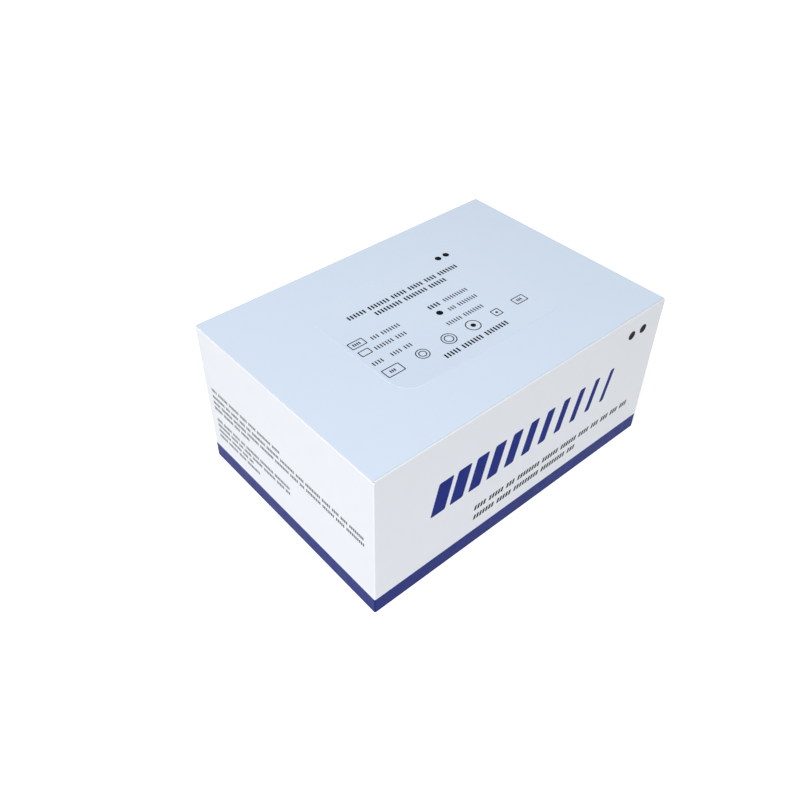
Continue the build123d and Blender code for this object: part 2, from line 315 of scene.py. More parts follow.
def printFlush(shape, finishes, base, normal, level, fields):
    # base is the finish of the bare wall, normal its outward direction, level its distance from
    # the origin along that, and fields the (outline, finish) pairs, in the wall's own plane
    normal = Vector(normal)
    baseIndex = finishes.index(base)
    near = meshFinish["inPlaneNear"] * mm
    wall = [
        face for face in shape.faces
        if face.normal.dot(normal) > meshFinish["inPlane"] and face.material_index == baseIndex
        and all(abs(vert.co.dot(normal) - level) < near for vert in face.verts)
    ]
    inWall = set(wall)
    rim = [edge for face in wall for edge in face.edges
           if sum(other in inWall for other in edge.link_faces) == 1]
    corners = list({vert for edge in rim for vert in edge.verts})
    number = {vert: i for i, vert in enumerate(corners)}
    flat = [Vector(flatten(vert.co, normal)) / mm for vert in corners]
    edges = [(number[edge.verts[0]], number[edge.verts[1]]) for edge in rim]
    outlines = []
    for outline, _ in fields:
        start = len(flat)
        flat += [Vector(point) for point in outline]
        outlines.append(list(range(start, len(flat))))
    insideOnly = 1  # Of the function's kinds of result, the one without faces past the rim
    made = geometry.delaunay_2d_cdt(flat, edges, outlines, insideOnly, meshFinish["printWeld"])
    newPoints, _, newFaces, oldPoints, _, oldFaces = made
    bmesh.ops.delete(shape, geom=wall, context="FACES_KEEP_BOUNDARY")
    verts = []
    for point, sources in zip(newPoints, oldPoints):
        known = [i for i in sources if i < len(corners)]
        if known:
            verts.append(corners[known[0]])
        else:
            verts.append(shape.verts.new(lift(point * mm, normal, level)))
    for loop, sources in zip(newFaces, oldFaces):
        ring = [verts[i] for i in loop]
        if len(set(ring)) < 3:
            continue
        face = shape.faces.new(ring)
        face.normal_update()
        if face.normal.dot(normal) < 0:
            face.normal_flip()
        face.material_index = finishes.index(fields[max(sources)][1]) if sources else baseIndex


def flatten(point, normal):
    if abs(normal.z) > meshFinish["leaning"]:
        return (point.x, point.y)
    if abs(normal.y) > meshFinish["leaning"]:
        return (point.x, point.z)
    return (point.y, point.z)


def lift(point, normal, level):
    if abs(normal.z) > meshFinish["leaning"]:
        return Vector((point.x, point.y, level * normal.z))
    if abs(normal.y) > meshFinish["leaning"]:
        return Vector((point.x, level * normal.y, point.y))
    return Vector((level * normal.x, point.x, point.y))


# Outlines in millimetres

def roundedBox(x, y, width, height, radius, slant=0.0, steps=4):
    radius = min(radius, width / 2, height / 2)
    points = []
    for quarter, (sideX, sideY) in enumerate(((1, 1), (-1, 1), (-1, -1), (1, -1))):
        centreX = x + sideX * (width / 2 - radius)
        centreY = y + sideY * (height / 2 - radius)
        for i in range(steps + 1):
            angle = math.radians(90 * (quarter + i / steps))
            across = centreX + radius * math.cos(angle)
            up = centreY + radius * math.sin(angle)
            points.append((across + slant * (up - y), up))
    return points


def slantedBox(x, y, width, height, slant):
    lean = slant * height / 2
    return [
        (x - width / 2 - lean, y - height / 2), (x + width / 2 - lean, y - height / 2),
        (x + width / 2 + lean, y + height / 2), (x - width / 2 + lean, y + height / 2),
    ]


def disc(x, y, radius, count=28):
    turn = math.tau / count
    points = []
    for i in range(count):
        points.append((x + radius * math.cos(i * turn), y + radius * math.sin(i * turn)))
    return points


rowPattern = {
    "pitch": 0.62,  # From bar to bar, as a share of the row's height
    "group": (3, 9),  # Fewest and most bars in a group
    "space": 0.9,  # Between groups, in pitches
    "leftOver": 4,  # Room for fewer bars than this goes to the last group
}


def barPlaces(start, end, pitch, dice):
    # Middles of the plain bars that fill a row, in groups of a few
    fewest, most = rowPattern["group"]
    places = []
    along = start
    while end - along > fewest * pitch:
        count, room = dice.randint(fewest, most), int((end - along) / pitch)
        if room < count + rowPattern["leftOver"]:
            count = room
        for _ in range(count):
            places.append(along + pitch / 2)
            along += pitch
        along += rowPattern["space"] * pitch
    return places


def rowFields(rows, bars, place, ink, dice):
    # Rows are (start, end, middle), bars says how their bars look, and place turns a point given
    # along and down into the wall's own
    fields = []
    pitch = rowPattern["pitch"] * bars["height"]
    for start, end, middle in rows:
        for along in barPlaces(start, end, pitch, dice):
            x, y = place(along, middle)
            outline = slantedBox(x, y, pitch * bars["weight"], bars["height"], bars["slant"])
            fields.append((outline, ink))
    return fields


# Carton body: the folded board, with its band and print flush in the outer faces. Print is
# placed from the wall's left end, as seen from outside, and down from the lid's top.

carton = {
    "bandHeight": 9.4,
    "boardThickness": 0.5,
    "near": 0.22,  # A face this near to a wall's plane belongs to it
    "seamBoards": 1.4,  # The glued seam's inner face, at most so many boards in from the wall's
    "flapBoards": 4,  # The dust flaps lie at most so many boards below the top
    "creaseTurn": 0.45,  # Least share of both level axes in the normal of a rounded corner
    "stripeCount": 11,
    "stripeFirst": 37.0,
    "stripePitch": 10.83,
    "stripeWidest": 8.4,
    "stripeNarrowest": 2.9,
    "stripeMiddle": 34.9,
    "stripeHeight": 18.4,
    "stripeCorner": 0.9,
    "stripeSlant": 0.24,
    "dotPlaces": ((157.3, 10.9), (165.7, 10.9)),
    "dotRadius": 2.4,
    "frontRows": ((58.0, 168.5, 58.6), (58.0, 129.5, 64.9)),
    "frontBars": {"height": 3.1, "weight": 0.66, "slant": 0.2},
    "sideRows": (
        (5.6, 61.9, 34.75), (5.6, 120.0, 39.0), (5.6, 120.0, 42.75), (5.6, 36.0, 46.25),
        (6.25, 66.9, 53.75), (6.25, 66.9, 57.25), (6.25, 37.0, 60.9), (6.25, 41.5, 64.6),
    ),
    "sideBars": {"height": 1.9, "weight": 0.63, "slant": 0.0},
    "seed": 4,
}


def cartonFinish(face, half, top):
    middle, normal = face.calc_center_median(), face.normal
    board, near = carton["boardThickness"] * mm, carton["near"] * mm
    squareOn, leaning = meshFinish["squareOn"], meshFinish["leaning"]
    if abs(middle.x) > half.x - near or abs(middle.y) > half.y - near:
        if middle.z < carton["bandHeight"] * mm:
            return navyInk
        # Rounded upright corners above the band are lighter, partly as crease and partly as painted
        # highlight
        turned = min(abs(normal.x), abs(normal.y)) > carton["creaseTurn"]
        return creaseAndHighlightWhite if turned else coatedBoard
    if normal.z > squareOn and middle.z > top - near:
        return cutBoard
    innerX, innerY = half.x - board, half.y - board
    onSeam = middle.x > innerX - carton["seamBoards"] * board
    if abs(normal.x) > squareOn and (onSeam or abs(abs(middle.x) - innerX) < near):
        return insideBoard
    if abs(normal.y) > squareOn and abs(abs(middle.y) - innerY) < near:
        return insideBoard
    onDustFlap = middle.z > top - carton["flapBoards"] * board
    if normal.z > leaning:
        return coatedBoard if onDustFlap else insideBoard
    if normal.z < -leaning:
        return insideBoard if onDustFlap else coatedBoard
    return cutBoard


def frontFields(left, top, dice):
    fields = []
    widest, narrowest = carton["stripeWidest"], carton["stripeNarrowest"]
    for i in range(carton["stripeCount"]):
        width = widest + i / (carton["stripeCount"] - 1) * (narrowest - widest)
        x = left + carton["stripeFirst"] + i * carton["stripePitch"]
        stripe = roundedBox(x, top - carton["stripeMiddle"], width, carton["stripeHeight"],
                            carton["stripeCorner"], carton["stripeSlant"])
        fields.append((stripe, motifInk))
    for x, y in carton["dotPlaces"]:
        fields.append((disc(left + x, top - y, carton["dotRadius"]), textInk))
    return fields + rowFields(carton["frontRows"], carton["frontBars"],
                              lambda along, down: (left + along, top - down), textInk, dice)


def sideFields(rear, top, dice):
    return rowFields(carton["sideRows"], carton["sideBars"],
                     lambda along, down: (rear - along, top - down), textInk, dice)


def makeCarton():
    low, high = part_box("carton_body")
    half, lidTop = (high - low) / 2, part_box("lid")[1].z
    mesh, shape = workingCopy("carton_body", "carton")
    whole = shape.verts[:] + shape.edges[:] + shape.faces[:]
    bmesh.ops.bisect_plane(shape, geom=whole, plane_co=(0, 0, carton["bandHeight"] * mm),
                           plane_no=(0, 0, 1), dist=meshFinish["cut"] * mm)
    finishes = [coatedBoard, navyInk, insideBoard, cutBoard, motifInk, textInk, creaseAndHighlightWhite]
    dress(shape, finishes, lambda face: cartonFinish(face, half, high.z))
    dice = random.Random(carton["seed"])
    front = frontFields(low.x / mm, lidTop / mm, dice)
    side = sideFields(high.y / mm, lidTop / mm, dice)
    printFlush(shape, finishes, coatedBoard, (0, -1, 0), half.y, front)
    printFlush(shape, finishes, coatedBoard, (-1, 0, 0), half.x, side)
    return settle(mesh, shape, "carton_shell", finishes, "carton", "carton_board", "carton_body")


cartonShell = makeCarton()
print("carton body made,", len(cartonShell.data.polygons), "faces")


# Lid: pale blue on top, paler on its folds as crease and painted highlight, white on its tuck flap,
# raw board beneath

lid = {
    "topNear": 0.05,  # How near to the lid's top a face lies to be part of it
    "boardNear": 0.02,  # How far below the lid's board a face may lie and still be part of it
    "tuckNear": 0.1,  # How near to the tuck flap's outer curve a face lies to be part of it
    "topTurn": 0.95,  # Least share of up in a face's normal, for it to be the flat top
    "blueTurn": 0.55,  # The same, for the blue of the rounded edge
    "creaseTurn": 0.05,  # The same, for the crease below it, a paler blue that is partly crease and partly painted highlight
    "frontTurn": 0.3,  # Least share of forward in the normal of the crease's front
}


def lidFinish(face, high, hinge, reach):
    middle, normal = face.calc_center_median(), face.normal
    squareOn = meshFinish["squareOn"]
    if normal.z > lid["topTurn"] and middle.z > high.z - lid["topNear"] * mm:
        return blueBoard
    if abs(normal.x) > squareOn:
        return cutBoard
    if middle.z > high.z - (carton["boardThickness"] + lid["boardNear"]) * mm:
        if normal.z > lid["blueTurn"]:
            return blueBoard
        # The fold below the blue edge is paler, partly as crease and partly as painted highlight
        if normal.z > lid["creaseTurn"] or normal.y < -lid["frontTurn"]:
            return creaseAndHighlightBlue
        return insideBoard if normal.z < -squareOn else cutBoard
    if (middle - hinge).yz.length > reach - lid["tuckNear"] * mm:
        return coatedBoard
    return insideBoard if normal.y > meshFinish["leaning"] else cutBoard


def makeLid():
    low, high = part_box("lid")
    mesh, shape = workingCopy("lid", "lid board")
    hinge = Vector((0, high.y, high.z))
    finishes = [blueBoard, coatedBoard, insideBoard, cutBoard, creaseAndHighlightBlue]
    dress(shape, finishes, lambda face: lidFinish(face, high, hinge, high.y - low.y))
    return settle(mesh, shape, "lid_board", finishes, "lid", "lid_board", "lid")


makeLid()
print("lid made")


# The rear fold: a thin ribbon of board that closes the line between lid and back wall

fold = {
    "gap": 0.15,
    "lap": 0.2,
    "inset": 0.04,
    "thickness": 0.06,
    "bends": 12,
    "endInset": 0.2,
}


def makeFold():
    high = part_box("lid")[1]
    under = high.z - carton["boardThickness"] * mm
    wallTop = under - fold["gap"] * mm
    lap = fold["lap"] * mm
    heights = [wallTop - lap]
    heights += [wallTop + (under - wallTop) * i / fold["bends"] for i in range(fold["bends"] + 1)]
    heights += [under + lap]
    outer = high.y - fold["inset"] * mm
    inner = outer - fold["thickness"] * mm
    half = high.x - fold["endInset"] * mm
    shape = bmesh.new()
    rings = []
    for z in heights:
        corners = ((-half, inner), (half, inner), (half, outer), (-half, outer))
        rings.append([shape.verts.new((x, y, z)) for x, y in corners])
    for first, second in zip(rings, rings[1:]):
        for i in range(4):
            shape.faces.new((first[i], first[(i + 1) % 4], second[(i + 1) % 4], second[i]))
    shape.faces.new(rings[0][::-1])
    shape.faces.new(rings[-1])
    finishes = [coatedBoard, insideBoard]
    dress(shape, finishes,
          lambda face: insideBoard if face.normal.y < -meshFinish["leaning"] else coatedBoard)
    mesh = bpy.data.meshes.new("rear fold")
    piece = settle(mesh, shape, "lid_fold", finishes, "", "lid_board")
    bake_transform(piece)


makeFold()
print("rear fold made")


# Label on the lid: smooth paper with plain bars, frames and rings printed flush. They are placed
# from the carton's left end and its rear: rows are (start, end, middle), frames (x, y, width,
# height), and rings and spots (x, y, radius).

label = {
    "paper": ((0.648, 0.742, 0.870), (0.638, 0.732, 0.860)),
    "edge": ((0.652, 0.747, 0.876), (0.652, 0.747, 0.876)),
    # Towards the near corner the paper is painted darker, a painted shade, and its edge lighter, a
    # painted highlight
    "paperPaintedShade": (0.602, 0.696, 0.824),
    "edgePaintedHighlight": (0.72, 0.80, 0.91),
    "fadeAlong": (1, 1, 0),  # From the near corner to the far one
    "paintedShadeFade": (-78.0, 0.0),  # Where along it the painted shade starts to fade, and where it ends
    "paintedHighlightFade": (-73.0, -60.0),
    "roughness": (0.44, 0.52),
    "gloss": 0.5,
    "edgeFibreDepth": 0.000005,
    "cornerRadius": 11.0,
    "cornerSteps": 12,
    "rim": 0.6,
    "boldRows": ((55.0, 125.3, 41.8), (67.3, 113.5, 46.9), (70.3, 110.3, 90.2), (88.8, 96.9, 59.5)),
    "boldBars": {"height": 2.9, "weight": 0.52, "slant": 0.0},
    "plainRows": (
        (54.0, 71.3, 59.7), (50.8, 70.4, 66.2), (98.4, 114.4, 59.5), (95.3, 114.6, 66.2),
        (43.0, 50.0, 74.0), (53.4, 66.3, 74.0), (87.0, 110.3, 73.9),
    ),
    "plainBars": {"height": 2.5, "weight": 0.42, "slant": 0.0},
    "smallRows": ((44.6, 50.0, 58.5), (45.6, 50.0, 82.4), (124.6, 128.2, 81.8)),
    "smallBars": {"height": 1.8, "weight": 0.6, "slant": 0.0},
    "line": 0.5,  # How wide the lines of the frames and rings are
    "frames": (
        (47.2, 58.5, 8.4, 4.9), (46.2, 65.4, 6.0, 4.0), (47.7, 82.4, 9.6, 5.8),
        (126.5, 81.8, 7.6, 5.0), (111.0, 82.0, 4.8, 4.8),
    ),
    "frameCorner": 0.5,
    "frameInnerCorner": 0.3,
    "rings": (
        (64.6, 82.3, 3.4), (64.6, 82.3, 2.0), (95.8, 82.0, 3.8), (80.6, 82.0, 3.8),
        (80.6, 82.0, 2.4),
    ),
    "spots": (
        (90.7, 65.3, 1.7), (95.8, 82.0, 1.3), (111.0, 82.0, 0.7), (121.6, 31.4, 1.7),
        (126.9, 31.4, 1.7),
    ),
    "seed": 9,
}


def labelFields(left, rear, paper):
    dice = random.Random(label["seed"])
    fields = []
    line = label["line"]
    for x, y, width, height in label["frames"]:
        x, y = left + x, rear - y
        fields.append((roundedBox(x, y, width, height, label["frameCorner"]), textInk))
        fields.append((roundedBox(x, y, width - 2 * line, height - 2 * line,
                                  label["frameInnerCorner"]), paper))
    for x, y, radius in label["rings"]:
        fields.append((disc(left + x, rear - y, radius), textInk))
        fields.append((disc(left + x, rear - y, radius - line), paper))
    for x, y, radius in label["spots"]:
        fields.append((disc(left + x, rear - y, radius), textInk))
    for rows, bars in (("boldRows", "boldBars"), ("plainRows", "plainBars"),
                       ("smallRows", "smallBars")):
        fields += rowFields(label[rows], label[bars],
                            lambda along, down: (left + along, rear - down), textInk, dice)
    return fields


def fadeColour(material, near, start, end):
    # Turns a material's colour to another one towards the label's near corner: painted shade on the
    # paper, a painted highlight on its edge
    tree = material.node_tree
    base = tree.nodes["Principled BSDF"].inputs["Base Color"]
    across = vectorCalc(tree, "DOT_PRODUCT", objectPlace(tree), label["fadeAlong"])["Value"]
    share = remap(tree, across, start * mm, end * mm, 0, 1)
    tree.links.new(mixColours(tree, share, near, base.links[0].from_socket), base)


def makeLabel():
    low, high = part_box("top_label")
    boxLow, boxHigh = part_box("carton_body")
    paper = printedBoard("label paper", label["paper"], label["roughness"], label["gloss"])
    # Painted shade on the paper and a painted highlight on its edge, towards the near corner
    fadeColour(paper, label["paperPaintedShade"], *label["paintedShadeFade"])
    edge = rawBoard("label edge", label["edge"], label["edgeFibreDepth"])
    fadeColour(edge, label["edgePaintedHighlight"], *label["paintedHighlightFade"])
    mesh, shape = workingCopy("top_label", "label paper")
    finishes = [paper, textInk, edge]
    dress(shape, finishes, lambda face: edge)
    middle, size = (low + high) / 2 / mm, (high - low) / mm
    rim = label["rim"]
    fields = [(roundedBox(middle.x, middle.y, size.x - 2 * rim, size.y - 2 * rim,
                          label["cornerRadius"] - rim, steps=label["cornerSteps"]), paper)]
    fields += labelFields(boxLow.x / mm, boxHigh.y / mm, paper)
    printFlush(shape, finishes, edge, (0, 0, 1), high.z, fields)
    return settle(mesh, shape, "label", finishes, "lid", "label_paper", "top_label")


topLabel = makeLabel()
print("label made,", len(topLabel.data.polygons), "faces")


# Small builders for Geometry Nodes

def startTree(name, sizes):
    # A tree that takes a geometry and has a named input for each of its sizes
    tree = bpy.data.node_groups.new(name, "GeometryNodeTree")
    kinds = {
        int: "NodeSocketInt",
        float: "NodeSocketFloat",
        bpy.types.Material: "NodeSocketMaterial",
    }
    tree.interface.new_socket("Geometry", in_out="INPUT", socket_type="NodeSocketGeometry")
    for title, value in sizes.items():
        tree.interface.new_socket(title, in_out="INPUT", socket_type=kinds[type(value)])
    tree.interface.new_socket("Geometry", in_out="OUTPUT", socket_type="NodeSocketGeometry")
    source = tree.nodes.new("NodeGroupInput")
    return tree, source.outputs


def step(tree, kind, shape=None, **values):
    # One geometry node: its type's short name, the geometry that goes in, and its other sockets
    node = tree.nodes.new("GeometryNode" + kind)
    if shape is not None:
        tree.links.new(shape, node.inputs[0])
    for title, value in values.items():
        join(tree, value, node.inputs[title.replace("_", " ")])
    return node.outputs[0]


def endTree(tree, shape, material):
    real = step(tree, "RealizeInstances", shape)
    done = step(tree, "SetMaterial", real, Material=material)
    tree.links.new(done, tree.nodes.new("NodeGroupOutput").inputs["Geometry"])


def keep(tree, shape, title, value, kind):
    node = tree.nodes.new("GeometryNodeStoreNamedAttribute")
    node.data_type = kind
    node.domain = "POINT"
    node.inputs["Name"].default_value = title
    tree.links.new(shape, node.inputs["Geometry"])
    tree.links.new(value, node.inputs["Value"])
    return node.outputs["Geometry"]


def recall(tree, title, kind):
    node = tree.nodes.new("GeometryNodeInputNamedAttribute")
    node.data_type = kind
    node.inputs["Name"].default_value = title
    return node.outputs["Attribute"]


def position(tree):
    return tree.nodes.new("GeometryNodeInputPosition").outputs[0]


def grow(base, tree, sizes, name):
    # Runs a tree on a mesh and gives back what it makes as a plain mesh
    host = bpy.data.objects.new(name, base)
    bpy.context.scene.collection.objects.link(host)
    modifier = host.modifiers.new(name, "NODES")
    modifier.node_group = tree
    for item in tree.interface.items_tree:
        if item.in_out == "INPUT" and item.name in sizes:
            modifier[item.identifier] = sizes[item.name]
    mesh = plainMesh(host, name)
    host.modifiers.remove(modifier)
    bpy.data.objects.remove(host)
    return mesh


# Sealed foil pouches, two rows of ten, each with a flat crimped rim and the form of what it holds

pouch = {
    "foil": ((0.77, 0.78, 0.80), (0.86, 0.87, 0.885)),  # Darker in the folds as painted shade, and the plain foil far from them
    "metallic": 0.85,
    "roughness": (0.22, 0.36),
    "foldWidth": 0.2,
    "crease": (70, 1, (3, 1, 0.7)),
    "creaseDepth": 0.0020,
    "ruffle": (34, 1, (5, 0.8, 1.3)),
    "ruffleDepth": 0.0030,
    "crimpPitch": 1.1,
    "crimpDepth": 0.00010,
    "crimpEnd": 0.001,  # Share of the swell at which the rim's crimps have ended
    "rim": 0.4,
    "endSeal": 9.0,
    "sideSeal": 7.0,
    "slope": 15.0,
    "softening": 6.0,
    "slack": 0.45,
    "notchFromEnd": 14.0,
    "notchWidth": 2.4,
    "notchDepth": 2.6,
    "notchFade": 2.3,  # How far down the drop of the notch dies out, in its own depths
    "columns": 52,
    "rows": 33,
    "wrinkle": 0.34,
    "wrinkleField": (75, 3, (6, 1, 0.7)),
    "wrinkleGain": 4,
    "wrinkleRise": 4,  # How fast wrinkles set in from the rim
    "wrinkleFall": 0.55,  # How much of them the full swell has pulled smooth
    "wave": 2.2,
    "waveField": (14, 1, (12, 1, 1)),
    "waveFall": 0.5,
}


def foldLines(tree, field):
    # Sharp folds run where a soft field crosses its middle value, so they never end abruptly
    return calc(tree, "ABSOLUTE", less(tree, field, 0.5))


def makeFoil():
    material, tree, shader = startMaterial("pouch foil", pouch["foil"][1], pouch["roughness"][0])
    shader.inputs["Metallic"].default_value = pouch["metallic"]
    place = objectPlace(tree)
    crease = foldLines(tree, noiseField(tree, place, *pouch["crease"]))
    ruffle = foldLines(tree, noiseField(tree, place, *pouch["ruffle"]))
    # The foil is painted darker along its folds, a painted shade
    tree.links.new(mixColours(tree, crease, *pouch["foil"]), shader.inputs["Base Color"])
    roughness = remap(tree, crease, 0, pouch["foldWidth"], *pouch["roughness"])
    tree.links.new(roughness, shader.inputs["Roughness"])
    edge = tree.nodes.new("ShaderNodeAttribute")
    edge.attribute_name = "edgePlace"
    toEnd, toSide, swell = parts(tree, edge.outputs["Vector"])
    nearest = calc(tree, "MINIMUM", toEnd, toSide)
    ribs = calc(tree, "SINE", times(tree, nearest, math.tau / (pouch["crimpPitch"] * mm)))
    crimp = times(tree, ribs, calc(tree, "LESS_THAN", swell, pouch["crimpEnd"]))
    addBump(tree, shader, [(ruffle, pouch["ruffleDepth"]), (crease, pouch["creaseDepth"]),
                           (crimp, pouch["crimpDepth"])])
    return material


def tearNotch(tree, size, y, z):
    # The columns one pane to each side of the notch close up to its width, and its own drops
    pane = calc(tree, "DIVIDE", size["Length"], less(tree, size["Columns"], 1))
    aside = less(tree, y, size["Notch place"])
    away = calc(tree, "ABSOLUTE", aside)
    beside = calc(tree, "LESS_THAN", away, times(tree, pane, 1.5))
    squeeze = less(tree, 1, calc(tree, "DIVIDE", times(tree, size["Notch width"], 0.5), pane))
    newY = less(tree, y, times(tree, aside, times(tree, squeeze, beside)))
    middle = calc(tree, "LESS_THAN", away, times(tree, pane, 0.5))
    below = less(tree, times(tree, size["Height"], 0.5), z)
    fade = remap(tree, below, 0, times(tree, size["Notch depth"], pouch["notchFade"]), 1, 0)
    drop = times(tree, times(tree, fade, middle), size["Notch depth"])
    return newY, less(tree, z, drop)


def pouchForm(tree, size):
    # A thin box of many panes, whose two sides swell away from its rim
    box = step(tree, "MeshCube", Size=vector(tree, size["Rim"], size["Length"], size["Height"]),
               Vertices_X=2, Vertices_Y=size["Columns"], Vertices_Z=size["Rows"])
    x, y, z = parts(tree, position(tree))
    side = calc(tree, "SIGN", x)
    toEnd = less(tree, times(tree, size["Length"], 0.5), calc(tree, "ABSOLUTE", y))
    toSide = less(tree, times(tree, size["Height"], 0.5), calc(tree, "ABSOLUTE", z))
    inward = calc(tree, "SMOOTH_MIN", less(tree, toEnd, size["End seal"]),
                  less(tree, toSide, size["Side seal"]), size["Softening"])
    swell = remap(tree, inward, 0, size["Slope"], 0, 1)
    rise = calc(tree, "SINE", times(tree, swell, math.pi / 2))
    halfRim = times(tree, size["Rim"], 0.5)
    half = calc(tree, "MULTIPLY_ADD", rise, less(tree, size["Swell"], halfRim), halfRim)
    newY, newZ = tearNotch(tree, size, y, z)
    kept = keep(tree, box, "edgePlace", vector(tree, toEnd, toSide, swell), "FLOAT_VECTOR")
    kept = keep(tree, kept, "side", side, "FLOAT")
    return step(tree, "SetPosition", kept,
                Position=vector(tree, times(tree, side, half), newY, newZ))


def slacken(tree, size, pouches):
    # Wrinkles over the swollen part, and a slow wave along each rim
    place = position(tree)
    swell = parts(tree, recall(tree, "edgePlace", "FLOAT_VECTOR"))[2]
    wrinkles = noiseField(tree, place, *pouch["wrinkleField"])
    gain = pouch["wrinkleGain"]
    height = times(tree, calc(tree, "MULTIPLY_ADD", wrinkles, gain, -gain / 2), size["Wrinkle"])
    height = calc(tree, "MAXIMUM", calc(tree, "MINIMUM", height, size["Wrinkle"]),
                  times(tree, size["Wrinkle"], -1))
    settingIn = calc(tree, "MINIMUM", times(tree, swell, pouch["wrinkleRise"]), 1)
    pulled = calc(tree, "MULTIPLY_ADD", swell, -pouch["wrinkleFall"], 1)
    height = times(tree, height, times(tree, settingIn, pulled))
    outward = times(tree, height, recall(tree, "side", "FLOAT"))
    waves = noiseField(tree, place, *pouch["waveField"])
    sway = times(tree, calc(tree, "MULTIPLY_ADD", waves, 2, -1), size["Wave"])
    onRim = less(tree, 1, calc(tree, "POWER", swell, pouch["waveFall"]))
    shift = calc(tree, "MULTIPLY_ADD", sway, onRim, outward)
    return step(tree, "SetPosition", pouches, Offset=vector(tree, shift, 0, 0))


def pouchTree(sizes):
    # One pouch on each point, as tall as the floor below it allows
    tree, size = startTree("row of pouches", sizes)
    rows = step(tree, "InstanceOnPoints", size["Geometry"], Instance=pouchForm(tree, size),
                Scale=vector(tree, 1, 1, recall(tree, "tall", "FLOAT")))
    real = step(tree, "RealizeInstances", rows)
    endTree(tree, slacken(tree, size, real), size["Material"])
    return tree


def makePouches():
    names = sorted(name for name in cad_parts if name.startswith("pouch_"))
    boxes = [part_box(name) for name in names]
    tallest = max(high.z - low.z for low, high in boxes)
    base = bpy.data.meshes.new("pouch places")
    base.from_pydata([(low + high) / 2 for low, high in boxes], [], [])
    tall = base.attributes.new("tall", "FLOAT", "POINT")
    tall.data.foreach_set("value", [(high.z - low.z) / tallest for low, high in boxes])
    low, high = boxes[0]
    length = high.y - low.y
    sizes = {
        "Length": length,
        "Height": tallest,
        "Swell": (high.x - low.x) / 2 - pouch["slack"] * mm,
        "Rim": pouch["rim"] * mm,
        "End seal": pouch["endSeal"] * mm,
        "Side seal": pouch["sideSeal"] * mm,
        "Slope": pouch["slope"] * mm,
        "Softening": pouch["softening"] * mm,
        "Notch place": length / 2 - pouch["notchFromEnd"] * mm,
        "Notch width": pouch["notchWidth"] * mm,
        "Notch depth": pouch["notchDepth"] * mm,
        "Wrinkle": pouch["wrinkle"] * mm,
        "Wave": pouch["wave"] * mm,
        "Columns": pouch["columns"],
        "Rows": pouch["rows"],
        "Material": makeFoil(),
    }
    mesh = grow(base, pouchTree(sizes), sizes, "foil pouches")
    return addPiece(mesh, "foil_pouches", "carton", "pouch_foil", *names)


foilPouches = makePouches()
print("pouches made,", len(foilPouches.data.polygons), "faces")


# Moulded plastic of the bottle and its cap

plasticFinish = {
    "cloud": (160, 3),
    "grain": (900, 2),
    "grainDepth": 0.000008,
}


def mouldedPlastic(name, shades, roughness, seeThrough=0.0):
    material, tree, shader = startMaterial(name, shades[0], roughness[0])
    shader.inputs["Transmission Weight"].default_value = seeThrough
    place = objectPlace(tree)
    cloud = noiseField(tree, place, *plasticFinish["cloud"])
    tree.links.new(mixColours(tree, cloud, *shades), shader.inputs["Base Color"])
    tree.links.new(remap(tree, cloud, *noiseSpan, *roughness), shader.inputs["Roughness"])
    grain = noiseField(tree, place, *plasticFinish["grain"])
    addBump(tree, shader, [(grain, plasticFinish["grainDepth"])])
    return material


def arcPoints(centre, size, start, end, count):
    # Points on an ellipse, from one angle to another, in degrees
    points = []
    for i in range(count + 1):
        angle = math.radians(start + (end - start) * i / count)
        across, up = size[0] * math.cos(angle), size[1] * math.sin(angle)
        points.append((centre[0] + across, centre[1] + up))
    return points


def lathe(name, profile, centre, low, count=72):
    # Turns a closed outline of (radius, height) in millimetres about an upright axis. Points at
    # radius 0 close the form at its poles.
    shape = bmesh.new()
    rings = []
    for radius, height in profile:
        z = low + height * mm
        if radius == 0:
            rings.append([shape.verts.new((centre.x, centre.y, z))])
            continue
        ring = []
        for i in range(count):
            angle = math.tau * i / count
            ring.append(shape.verts.new((centre.x + radius * mm * math.cos(angle),
                                         centre.y + radius * mm * math.sin(angle), z)))
        rings.append(ring)
    for first, second in zip(rings, rings[1:]):
        for i in range(count):
            after = (i + 1) % count
            corners = [first[i % len(first)], first[after % len(first)],
                       second[after % len(second)], second[i % len(second)]]
            loop = list(dict.fromkeys(corners))
            if len(loop) > 2:
                shape.faces.new(loop)
    bmesh.ops.recalc_face_normals(shape, faces=shape.faces)
    mesh = bpy.data.meshes.new(name)
    shape.to_mesh(mesh)
    shape.free()
    return mesh


# Buffer bottle: a lathed squeeze bottle, milky enough to show a little of the light behind it

bottle = {
    "plastic": ((0.82, 0.835, 0.84), (0.78, 0.80, 0.81)),
    "roughness": (0.30, 0.42),
    "seeThrough": 0.28,
    "bodyHeight": 40.0,
    "footRadius": 1.8,
    "footDish": 0.7,
    "footInset": 2.6,
    "footSteps": 6,
    "shoulderRise": 5.0,
    "shoulderSteps": 10,
    "neckRadius": 5.0,
    "neckHeight": 9.0,
    "tipRadius": 2.2,
    "tipEndRadius": 1.1,
    "boreRadius": 0.6,
    "boreDepth": 6.0,
}


